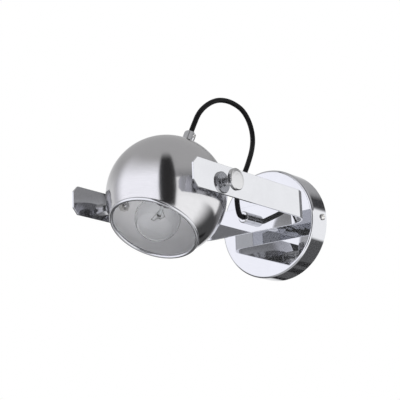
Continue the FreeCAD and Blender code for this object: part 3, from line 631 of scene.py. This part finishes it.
def toothed_washer(name, place, body, node):
    """Spring steel ring with twelve teeth, each twisted a little out of flat."""
    tooth = bmesh.new()
    bmesh.ops.create_cube(tooth, size=1.0)
    twist = Matrix.Rotation(math.radians(12.0), 4, "X")
    for v in tooth.verts:
        width = 1.5 if v.co.x < 0 else 1.9
        flat = Vector((v.co.x * 1.75 + 7.08, v.co.y * width, v.co.z * 0.36))
        v.co = (twist @ flat + Vector((0, 0, 0.4))) * 0.001
    mesh = bpy.data.meshes.new(name)
    tooth.to_mesh(mesh)
    tooth.free()
    teeth = copies(name + "_teeth", link("tooth", mesh), 12, (0, 0, 0), (0, 0, 30), bright_steel)
    ring = turned(name, eased([(4.06, 0.1, 0), (6.35, 0.1, 0.1), (6.35, 0.7, 0.1), (4.06, 0.7, 0)]),
                  around=72)
    whole = joined(name, ring, teeth)
    whole.data.transform(place)
    finish_mesh(whole)
    return dress(whole, bright_steel, "bright_steel", body, node)


def joined(name, *parts):
    """Several plain meshes made one."""
    shape = bmesh.new()
    for part in parts:
        shape.from_mesh(part.data)
    mesh = bpy.data.meshes.new(name)
    shape.to_mesh(mesh)
    shape.free()
    for part in parts:
        bpy.data.objects.remove(part)
    return link(name, mesh)


toothed_washer("stem_tooth_washer", Matrix.Translation((0, -0.0254, 0)) @ wall_axis, "yoke",
               "stem_washer")
dress(eased_copy("stem_hexagon_nut", "stem_nut", nut_edge), bright_steel, "bright_steel", "yoke",
      "stem_nut")
paint(black_sheath, "stem_cable")


# --- Yoke ---------------------------------------------------------------------------------------
# One flat steel strip, 29 by 2 mm, bent to a U and chrome plated. Its two free ends have cut
# corners. The stem clamps it at the middle of its base, and its arms carry the pivots.
strip_width, strip_thickness = 0.029, 0.002
pivot_hole, pivot_reach = 3.06, 202.0
strip = Jig("strip_bender", {
    "Half width": 0.075, "Base": -0.0565, "Tip": -0.2565, "Bend": 0.025,
    "Strip width": strip_width, "Corner cut": 0.0065, "Bend steps": 28})
index = strip.node("GeometryNodeInputIndex")
from_middle = abs(index - 2.5)
side = (index - 2.5).maths("SIGN")
past_bend = from_middle.over(1.0)
at_tip = from_middle.over(2.0)
corner_cut = strip.size("Corner cut")
station = strip.node("ShaderNodeCombineXYZ", {}, {
    0: side * strip.size("Half width"),
    1: (strip.size("Base") + past_bend * (strip.size("Tip") + corner_cut - strip.size("Base"))
        - at_tip * corner_cut)})
stations = strip.node("GeometryNodeMeshLine", {}, {"Count": 6})
stations = strip.node("GeometryNodeSetPosition", {}, {"Geometry": stations, "Position": station})
fold_line = strip.node("GeometryNodeMeshToCurve", {}, {"Mesh": stations})
fold_line = strip.node("GeometryNodeSetCurveNormal", {"mode": "Z_UP"}, {"Curve": fold_line})
narrowing = 1.0 - at_tip * corner_cut * 2.0 / strip.size("Strip width")
fold_line = strip.node("GeometryNodeSetCurveRadius", {}, {"Curve": fold_line, "Radius": narrowing})
fold_line = strip.node("GeometryNodeFilletCurve", {"mode": "POLY"}, {
    "Curve": fold_line, "Count": strip.size("Bend steps"),
    "Radius": (1.0 - past_bend) * strip.size("Bend")})
half_strip = strip.size("Strip width") * 0.5
across = strip.node("GeometryNodeCurvePrimitiveLine", {}, {
    "Start": strip.node("ShaderNodeCombineXYZ", {}, {1: -half_strip}),
    "End": strip.node("ShaderNodeCombineXYZ", {}, {1: half_strip})})
ribbon = strip.node("GeometryNodeCurveToMesh", {}, {
    "Curve": fold_line, "Profile Curve": across, "Scale": strip.node("GeometryNodeInputRadius")})
ribbon = strip.node("GeometryNodeMergeByDistance", {}, {"Geometry": ribbon})
yoke_chrome = chrome("yoke_chrome", waviness=0.004)
yoke = strip.made("yoke_bar", ribbon, yoke_chrome)
finish_mesh(yoke)
wall = yoke.modifiers.new("wall", "SOLIDIFY")
wall.thickness = strip_thickness
wall.offset = 0.0
wall.use_even_offset = True
settle(yoke)
drilled(yoke, pivot_hole, (-82, -pivot_reach, 0), (82, -pivot_reach, 0))
drilled(yoke, 4.05, (0, -50, 0), (0, -64, 0))
edge = yoke.modifiers.new("edge", "BEVEL")
edge.width = 0.00028
edge.segments = 3
edge.limit_method = "ANGLE"
edge.angle_limit = math.radians(30.0)
settle(yoke)
true_flats(finish_mesh(yoke, 60.0))
dress(yoke, yoke_chrome, "mirror_chrome", "yoke", "yoke_strip")


# --- Cord grips ---------------------------------------------------------------------------------
# Two turned and chromed grips on the ends of the threaded tubes. A grub screw in the side of each
# bears on the cable, so a pull on the loop never reaches the joints inside.
grip_radius, grip_bore, socket_depth = 6.3, 2.8, 7.5
pivot, head_turn = (0, -pivot_reach * 0.001, 0), (-30.0, 0, 0)
head_place = Matrix.Translation(pivot) @ Matrix.Rotation(math.radians(head_turn[0]), 4, "X")


def cord_grip(name, foot, length, place, screw_side, material, body, node, screw_name, screw_node):
    """One grip and its grub screw, from the height of its foot on its own axis."""
    top = foot + length
    body_shape = turned(name, eased([
        (bore, foot, 0), (grip_radius, foot, 0.25), (grip_radius, top - 1.0, 0.45),
        (grip_radius - 1.0, top, 0.45), (grip_bore + 0.25, top, 0.2), (grip_bore, top - 0.5, 0),
        (grip_bore, foot + socket_depth, 0), (bore, foot + socket_depth, 0)]), around=96)
    height = top - 5.0
    true_flats(drilled(body_shape, 1.55, (0, 0, height), (screw_side * 8.0, 0, height), 32))
    body_shape.data.transform(place)
    dress(body_shape, material, "mirror_chrome", body, node)
    cross = Matrix.Translation((0, 0, height * 0.001)) @ Matrix.Rotation(
        math.radians(90.0 * screw_side), 4, "Y")
    screw = turned(screw_name, eased([
        (0, 2.85, 0), (1.1, 2.85, 0), (1.5, 3.25, 0), (1.5, 7.2, 0.25), (0.85, 7.2, 0.08),
        (0.85, 6.0, 0), (0, 5.8, 0)]), cross, 32)
    screw.data.transform(place)
    dress(screw, bright_steel, "bright_steel", body, screw_node)


grip_chrome = chrome("grip_chrome", turn=(90.0, 0.0, 0.0), shine=0.05, waviness=0.02)
cord_grip("yoke_grip_body", 57.55, 15.0, wall_axis, -1, grip_chrome, "yoke", "yoke_cord_grip",
          "yoke_grub_screw", "yoke_grip_screw")


# --- Ball shade ---------------------------------------------------------------------------------
# Ball spun from 1.5 mm sheet, cut off flat at its mouth. Fine satin nickel outside, pale and dull
# inside. A hole at its back takes the threaded tube, one on each side the pivots.
ball_radius, ball_wall, mouth_distance = 60.0, 1.5, 40.7
mouth_angle = -math.degrees(math.asin(mouth_distance / ball_radius))
mouth_angle_in = -math.degrees(math.asin(mouth_distance / (ball_radius - ball_wall)))
hole_angle = math.degrees(math.acos(bore / ball_radius))
hole_angle_in = math.degrees(math.acos(bore / (ball_radius - ball_wall)))

spun = Finish("spun_nickel", pivot, head_turn)
distance = spun.node("ShaderNodeVectorMath", {"operation": "LENGTH"}, {0: spun.place}, "Value")
outside = spun.smooth(distance, 0.0590, 0.0596)
height = spun.node("ShaderNodeSeparateXYZ", {}, {"Vector": spun.place}, "Z")
rings = spun.node("ShaderNodeTexNoise", {"noise_dimensions": "1D"},
                  {"W": height, "Scale": 2600.0, "Detail": 3.0, "Roughness": 0.7})
satin = spun.noise(1.0, 3.0, 0.6, spun.stretched((160.0, 160.0, 5200.0)))
cloud = spun.noise(26.0, 3.0, 0.55)
lines = rings * 0.5 + satin * 0.5
outer_tone = spun.between((0.550, 0.547, 0.558), (0.645, 0.641, 0.651), spun.smooth(lines, 0.3, 0.7))
inner_tone = spun.between((0.83, 0.83, 0.842), (0.88, 0.88, 0.895), spun.smooth(lines, 0.3, 0.7))
shell_finish = spun.done(
    Base_Color=spun.between(inner_tone, outer_tone, outside), Metallic=0.08 + outside * 0.92,
    Roughness=outside * (0.125 + cloud * 0.03) + (1.0 - outside) * (0.42 + cloud * 0.06),
    Normal=spun.bump(lines, 0.05, 0.00005))
shell = turned("ball_shell",
               arc((0, 0), ball_radius, mouth_angle, hole_angle, 88)
               + arc((0, 0), ball_radius - ball_wall, hole_angle_in, mouth_angle_in, 72),
               around=224)
drilled(shell, pivot_hole, (-64, 0, 0), (64, 0, 0))
shell.data.transform(head_place)
dress(shell, shell_finish, "satin_nickel", "head", "lamp_shell")


# --- Rim bead -----------------------------------------------------------------------------------
# Round bead of polished steel, pressed on the edge of the ball's mouth.
bead_radius, bead_flat = 1.9, -40.75
bead_middle = math.sqrt(ball_radius**2 - mouth_distance**2) - ball_wall / 2
half_flat = ball_wall * 0.55
bead_height = bead_flat - math.sqrt(bead_radius**2 - half_flat**2)
open_angle = math.degrees(math.asin(half_flat / bead_radius))
bead = turned("rim_bead", arc((bead_middle, bead_height), bead_radius,
                              90.0 - open_angle, -270.0 + open_angle, 28), head_place, 224)
dress(bead, chrome("bead_polish", pivot, head_turn, 0.03, 0.015), "polished_rim",
      "head", "rim_ring")


# --- Head fastenings ----------------------------------------------------------------------------
# Threaded tube through the ball's back, with a nut and a toothed washer inside and a cord grip
# outside. Its lower end carries the lamp holder.
cord_grip("head_grip_body", 60.05, 24.5, head_place, 1,
          chrome("head_grip_satin", pivot, head_turn, 0.10, 0.02), "head",
          "head_cord_grip", "head_grub_screw", "head_grip_screw")
paint(threaded_steel("threaded_head_tube", 0.001, pivot, head_turn), "head_tube")
washer_place = head_place @ Matrix.Translation((0, 0, 0.0570998))
toothed_washer("head_tooth_washer", washer_place, "head", "head_washer")
dress(eased_copy("head_hexagon_nut", "head_nut", nut_edge), bright_steel, "bright_steel", "head",
      "head_nut")
paint(black_sheath, "head_cable")


# --- Pivots -------------------------------------------------------------------------------------
# On each side a turned spacer keeps the ball clear of the arm, and a hexagon nut inside the shell
# takes the thumbscrew, whose knob clamps the tilt.
knob_colour, knob_dull = (0.64, 0.64, 0.645), (0.57, 0.57, 0.575)


def turned_metal(name, location, turn, colour, dull, shine):
    """Metal from a lathe: fine rings about its axis, with a soft sheen."""
    work = Finish(name, location, turn)
    x = work.node("ShaderNodeSeparateXYZ", {}, {"Vector": work.place})
    from_axis = (x * x + x.other("Y") * x.other("Y")) ** 0.5
    rings = work.node("ShaderNodeTexNoise", {"noise_dimensions": "1D"},
                      {"W": from_axis + x.other("Z") * 0.7, "Scale": 5200.0, "Detail": 2.0})
    cloud = work.noise(120.0, 3.0, 0.6)
    return work.done(Base_Color=work.between(dull, colour, work.smooth(rings, 0.3, 0.7)),
                     Metallic=1.0, Roughness=shine + rings * 0.05 + cloud * 0.05,
                     Normal=work.bump(rings, 0.10, 0.00006))


for end, side in (("near", 1), ("far", -1)):
    pivot_axis = Matrix.Translation(pivot) @ Matrix.Rotation(math.radians(90.0 * side), 4, "Y")
    spacer = turned("spacer_" + end, eased([
        (pivot_hole, 60.0, 0), (6.75, 60.0, 0.2), (6.75, 73.9, 0.35), (pivot_hole, 73.9, 0)]),
                    pivot_axis, 72)
    dress(spacer, turned_metal("spacer_steel_" + end, pivot, (0, 90 * side, 0),
                               (0.76, 0.76, 0.76), (0.68, 0.68, 0.68), 0.10),
          "bright_steel", "head", "pivot_spacer_" + end)
    dress(eased_copy("pivot_hexagon_nut_" + end, "pivot_nut_" + end, nut_edge), bright_steel,
          "bright_steel", "head", "pivot_nut_" + end)
    thread = []
    for k in range(22):
        height = 51.3 + k * 0.8
        thread += [(2.72, height), (2.98, height + 0.4)]
    knob = turned("knob_" + end, eased([(0, 50.5, 0), (2.3, 50.5, 0)] + [
        (r, h, 0) for r, h in thread] + [
        (2.98, 76.1, 0), (5.0, 76.1, 0.15), (5.0, 77.3, 0.3), (4.1, 78.1, 0.3), (3.9, 79.0, 0.5),
        (3.9, 82.0, 0.6), (10.0, 82.0, 0.35), (10.8, 82.8, 0.4), (10.8, 85.7, 0.45),
        (9.9, 86.6, 0.3), (7.5, 86.84, 3.0), (4.0, 86.98, 3.0), (0, 87.0, 0)]), pivot_axis, 112)
    dress(true_flats(knob), turned_metal("knob_steel_" + end, pivot, (0, 90 * side, 0),
                                       knob_colour, knob_dull, 0.16), "knob_steel",
          end + "_knob", "thumbscrew_" + end)


# --- Lamp holder --------------------------------------------------------------------------------
# Two-part moulded holder on the threaded tube, with a ceramic insert, a threaded metal sleeve and
# a centre contact inside.
moulded = Finish("moulded_black", pivot, head_turn)
grain = moulded.noise(1500.0, 2.0, 0.6)
flow = moulded.noise(60.0, 3.0, 0.55)
holder_finish = moulded.done(
    Base_Color=moulded.between((0.014, 0.014, 0.015), (0.034, 0.034, 0.036),
                               moulded.smooth(flow, 0.3, 0.7)),
    Roughness=0.38 + grain * 0.12, Normal=moulded.bump(grain, 0.12, 0.0001))
for name, node in (("holder_back_half", "holder_cap"), ("holder_front_half", "holder_skirt")):
    dress(eased_copy(name, node, 0.0003), holder_finish, "holder_black", "head", node)

ceramic = Finish("glazed_ceramic")
pits = ceramic.noise(520.0, 3.0, 0.6)
paint(ceramic.done(Base_Color=ceramic.between((0.80, 0.79, 0.75), (0.90, 0.89, 0.86),
                                              ceramic.smooth(pits, 0.35, 0.65)),
                   Roughness=0.22 + pits * 0.14, Coat_Weight=0.3,
                   Normal=ceramic.bump(pits, 0.06, 0.0001)), "holder_insert")
paint(threaded_steel("holder_thread_brass", 0.00282, pivot, head_turn),
      "holder_screw_shell")
paint(brass, "holder_contact")
paint(nodes["live_core"].data.materials[0], "holder_live_core")
paint(nodes["neutral_core"].data.materials[0], "holder_neutral_core")


# --- Bulb ---------------------------------------------------------------------------------------
# Clear globe bulb: blown glass 0.8 mm thick, a rolled and threaded metal cap, and inside it a
# pressed glass stem with two lead wires and a coiled filament.
globe_radius, globe_height, glass_wall, neck_radius = 22.5, -30.0, 0.8, 6.05
cap_mouth, cap_top, cap_foot, cap_radius = 1.9, 22.9, 27.4, 6.95


def clear_glass(name, tint, shine, wave):
    """Clear blown or pressed glass, with the slight ripples that blowing leaves."""
    glass = Finish(name, pivot, head_turn)
    ripple = glass.noise(55.0, 2.0, 0.4)
    film = glass.noise(300.0, 2.0, 0.5)
    clear = [min(1.0, part + 0.015) for part in tint]
    return glass.done(Base_Color=glass.between(tint, clear, glass.smooth(ripple, 0.3, 0.7)),
                      Roughness=shine + film * 0.012, IOR=1.46, Transmission_Weight=1.0,
                      Normal=glass.bump(ripple, wave, 0.0005))


neck_join = math.degrees(math.acos(neck_radius / globe_radius))
inner_radius = globe_radius - glass_wall
neck_join_in = math.degrees(math.acos((neck_radius - glass_wall) / inner_radius))
globe = turned("globe_glass",
               arc((0, globe_height), globe_radius, -90, neck_join, 56)
               + [(neck_radius, cap_mouth + 4.0), (neck_radius - glass_wall, cap_mouth + 4.0)]
               + arc((0, globe_height), inner_radius, neck_join_in, -90, 56), head_place, 128)
dress(globe, clear_glass("blown_glass", (0.97, 0.975, 0.98), 0.0, 0.02), "bulb_glass", "bulb",
      "bulb_glass")


def rolled_cap(name, around=96):
    """The threaded cap as one closed wall: a helix rolled in its side, its foot and its inside."""
    pitch, depth, wall = 2.82, 0.45, 0.85
    side_steps = 96
    section = []
    for k in range(side_steps + 1):
        section.append(("side", cap_mouth + (cap_top - cap_mouth) * k / side_steps))
    section += [(3.6, cap_foot - 1.2), (2.4, cap_foot - 0.1), (2.0, cap_foot), (0, cap_foot),
                (0, cap_top - 1.5), (cap_radius - wall, cap_top - 1.5), (cap_radius - wall, cap_mouth)]
    verts, rings = [], []
    for first, height in section:
        ring = []
        for j in range(around):
            angle = 2 * math.pi * j / around
            radius = first
            if first == "side":
                fade = min(1.0, max(0.0, (height - cap_mouth - 2.6) / 1.5))
                fade *= min(1.0, max(0.0, (cap_top - 1.4 - height) / 1.2))
                turn = 2 * math.pi * height / pitch - angle
                radius = cap_radius - depth * fade * (0.5 - 0.5 * math.cos(turn))
            ring.append(len(verts))
            verts.append((radius * 0.001 * math.cos(angle), radius * 0.001 * math.sin(angle),
                          height * 0.001))
        rings.append(ring)
    faces = []
    for low, high in zip(rings, rings[1:] + rings[:1]):
        for j in range(around):
            n = (j + 1) % around
            faces.append((low[j], low[n], high[n], high[j]))
    mesh = bpy.data.meshes.new(name)
    mesh.from_pydata(verts, [], faces)
    return mesh


cap_mesh = rolled_cap("bulb_screw_cap")
cap_mesh.transform(head_place)
bulb_cap = finish_mesh(link("bulb_screw_cap", cap_mesh))
dress(bulb_cap, turned_metal("rolled_cap_metal", pivot, head_turn, (0.80, 0.80, 0.80),
                             (0.72, 0.72, 0.72), 0.18), "bulb_cap_metal", "bulb", "bulb_cap")

glass_stem = turned("lamp_stem", eased([
    (0, 4.9, 0), (5.0, 4.9, 0.3), (4.4, 3.4, 0), (2.5, -3.1, 1.2), (1.8, -7.1, 0.8),
    (1.8, -25.0, 0.5), (2.3, -25.8, 0.3), (1.8, -26.6, 0.5), (0, -27.4, 0)]), head_place, 40)
dress(glass_stem, clear_glass("pressed_glass", (0.93, 0.95, 0.95), 0.03, 0.05), "stem_glass",
      "bulb", "bulb_stem")

span, coil_radius, coil_wire, drop = 0.0085, 0.00033, 0.00011, 0.0026
winder = Jig("coil_winder", {"Half span": span, "Drop": drop, "Coil radius": coil_radius,
                             "Wire radius": coil_wire, "Turns": 46})
index = winder.node("GeometryNodeInputIndex")
swing = (index * math.pi / 2).maths("SINE")
hang = winder.node("ShaderNodeCombineXYZ", {}, {
    0: (index - 2.0) * 0.5 * winder.size("Half span"),
    2: -(abs(swing) * winder.size("Drop")) - 0.029})
hooks = winder.node("GeometryNodeMeshLine", {}, {"Count": 5})
hooks = winder.node("GeometryNodeSetPosition", {}, {"Geometry": hooks, "Position": hang})
core_line = winder.node("GeometryNodeMeshToCurve", {}, {"Mesh": hooks})
core_line = winder.node("GeometryNodeResampleCurve", {}, {
    "Curve": core_line, "Count": winder.size("Turns") * 10 + 1})
share = winder.node("GeometryNodeSplineParameter", output="Factor")
turn = share * winder.size("Turns") * (2 * math.pi)
tangent = winder.node("GeometryNodeInputTangent")
aside = winder.node("ShaderNodeVectorMath", {"operation": "CROSS_PRODUCT"},
                    {0: tangent, 1: (0.0, 1.0, 0.0)})
lift = winder.node("ShaderNodeVectorMath", {"operation": "SCALE"},
                   {0: aside, "Scale": turn.maths("SINE") * winder.size("Coil radius")})
forward = winder.node("ShaderNodeCombineXYZ", {},
                      {1: turn.maths("COSINE") * winder.size("Coil radius")})
wound = winder.node("GeometryNodeSetPosition", {}, {
    "Geometry": core_line,
    "Offset": winder.node("ShaderNodeVectorMath", {"operation": "ADD"}, {0: lift, 1: forward})})
round_wire = winder.node("GeometryNodeCurvePrimitiveCircle", {}, {
    "Resolution": 5, "Radius": winder.size("Wire radius")})
wound = winder.node("GeometryNodeCurveToMesh", {}, {
    "Curve": wound, "Profile Curve": round_wire, "Fill Caps": True})
tungsten = plated_steel("tungsten_wire", (0.36, 0.35, 0.34), 0.30, 2400.0)
coil = winder.made("filament_coil", wound, tungsten)
leads = []
for side in (-1, 1):
    leads.append(tube("lead", [(side * 0.0024, 0, -0.019), (side * 0.0034, 0, -0.0215),
                               (side * 0.0058, 0, -0.0252), (side * span, 0, -0.029),
                               (side * (span + 0.0004), 0, -0.0296)], 0.00032, 8))
    leads.append(tube("hook", [(side * 0.0011, 0, -0.0262), (side * 0.0024, 0, -0.0290),
                               (side * span / 2, 0, -0.0315)], 0.00014, 6))
leads.append(tube("hook", [(0, 0, -0.0272), (0, 0, -0.0289)], 0.00014, 6))
filament = joined("bulb_wires", coil, *leads)
filament.data.transform(head_place)
finish_mesh(filament)
dress(filament, tungsten, "tungsten", "bulb", "bulb_filament")


# --- Studio -------------------------------------------------------------------------------------
# A pale floor well below the lamp, soft light panels left and right of the camera with a dark gap
# between them, an even white room behind, and two soft lamps: one high, one below the shade's mouth.
floor_mesh = bpy.data.meshes.new("floor")
floor_mesh.from_pydata([(-3, -3, -0.5), (3, -3, -0.5), (3, 3, -0.5), (-3, 3, -0.5)], [],
                       [(0, 1, 2, 3)])
floor = link("floor", floor_mesh)
paper = Finish("pale_paper")
fibre = paper.noise(60.0, 4.0, 0.6)
floor_mesh.materials.append(paper.done(
    Base_Color=paper.between((0.86, 0.86, 0.865), (0.90, 0.90, 0.90), fibre), Roughness=0.9))
floor.visible_glossy = False

world = bpy.data.worlds.new("studio")
world.use_nodes = True
bpy.context.scene.world = world
room = Bench(world.node_tree)
world.node_tree.nodes.clear()
look = room.node("ShaderNodeTexCoord", output="Generated")
look_x = room.node("ShaderNodeSeparateXYZ", {}, {"Vector": look})
compass = look_x.maths("ARCTAN2", look_x.other("Y")) * (180 / math.pi)
rise = look_x.other("Z").maths("ARCSINE") * (180 / math.pi)


def panel(middle, half, side_fade, low, low_fade, high, high_fade):
    """How much of a soft panel is seen in a direction, from 0 to 1. Angles are in degrees."""
    off = abs((compass - middle).maths("WRAP", 180.0, -180.0))
    across = 1.0 - room.smooth(off, half - side_fade, half + side_fade)
    upward = (room.smooth(rise, low - low_fade, low + low_fade)
              * (1.0 - room.smooth(rise, high - high_fade, high + high_fade)))
    return across * upward


left_panel = panel(-171.0, 56.0, 18.0, -45.0, 20.0, 41.0, 22.0)
right_panel = panel(71.5, 51.5, 3.0, -14.0, 2.0, 20.0, 1.5)
right_low = panel(97.0, 46.0, 24.0, -60.0, 8.0, -8.0, 6.0)
right_top = panel(18.0, 20.0, 5.0, 22.0, 1.5, 32.0, 3.0)
background = panel(-62.0, 44.0, 11.0, -10.0, 5.0, 26.0, 16.0)
gap = panel(139.0, 15.8, 1.2, -34.0, 4.0, 67.0, 12.0)
ribs = (panel(1.0, 4.0, 1.5, -50.0, 2.0, -27.0, 2.0) + panel(-14.0, 4.5, 1.5, -50.0, 2.0, -26.0, 2.0)
        + panel(-35.0, 22.0, 4.0, -18.0, 1.5, -11.0, 1.5))
ceiling = room.smooth(rise, 12.0, 45.0)
floor_light = 1.0 - room.smooth(rise, -16.0, -6.0)
underside = 1.0 - room.smooth(rise, -66.0, -48.0)
base = room.between((0.24, 0.24, 0.25), (0.53, 0.528, 0.53), ceiling)
base = room.between(base, (0.085, 0.085, 0.087), floor_light)
base = room.between(base, (0.58, 0.58, 0.59), underside)
seen = base
for colour, share in (((0.90, 0.90, 0.91), background), ((1.38, 1.38, 1.46), left_panel),
                      ((1.36, 1.36, 1.37), right_low), ((1.28, 1.28, 1.285), right_panel),
                      ((0.05, 0.05, 0.052), right_top), ((0.033, 0.032, 0.033), gap),
                      ((0.01, 0.01, 0.011), ribs)):
    seen = room.between(seen, colour, share)
path = room.node("ShaderNodeLightPath", output="Is Camera Ray")
white = path.maths("MAXIMUM", path.other("Is Transmission Ray"))
seen = room.between(seen, (0.92, 0.92, 0.93), path.other("Is Diffuse Ray"))
seen = room.between(seen, (1.0, 1.0, 1.0), white)
room.node("ShaderNodeOutputWorld", {}, {
    "Surface": room.node("ShaderNodeBackground", {}, {"Color": seen, "Strength": 1.0})})


def soft_lamp(name, size, power, place, target, unseen_by):
    """A square lamp that some kinds of rays pass by."""
    data = bpy.data.lights.new(name, "AREA")
    data.shape = "RECTANGLE"
    data.size, data.size_y = size, size
    data.energy = power
    lamp = bpy.data.objects.new(name, data)
    lamp.location = place
    lamp.rotation_euler = (Vector(target) - lamp.location).to_track_quat("-Z", "Y").to_euler()
    for ray in unseen_by:
        setattr(lamp, "visible_" + ray, False)
    bpy.context.scene.collection.objects.link(lamp)


soft_lamp("soft_key", 1.2, 7.0, (-0.9, -1.3, 1.1), (0, -0.15, 0), ["glossy"])
soft_lamp("mouth_fill", 0.35, 2.6, (0.24, -0.44, -0.40), (0, -0.19, 0.02),
          ["glossy", "camera", "transmission"])

bpy.context.scene.view_settings.view_transform = "Standard"
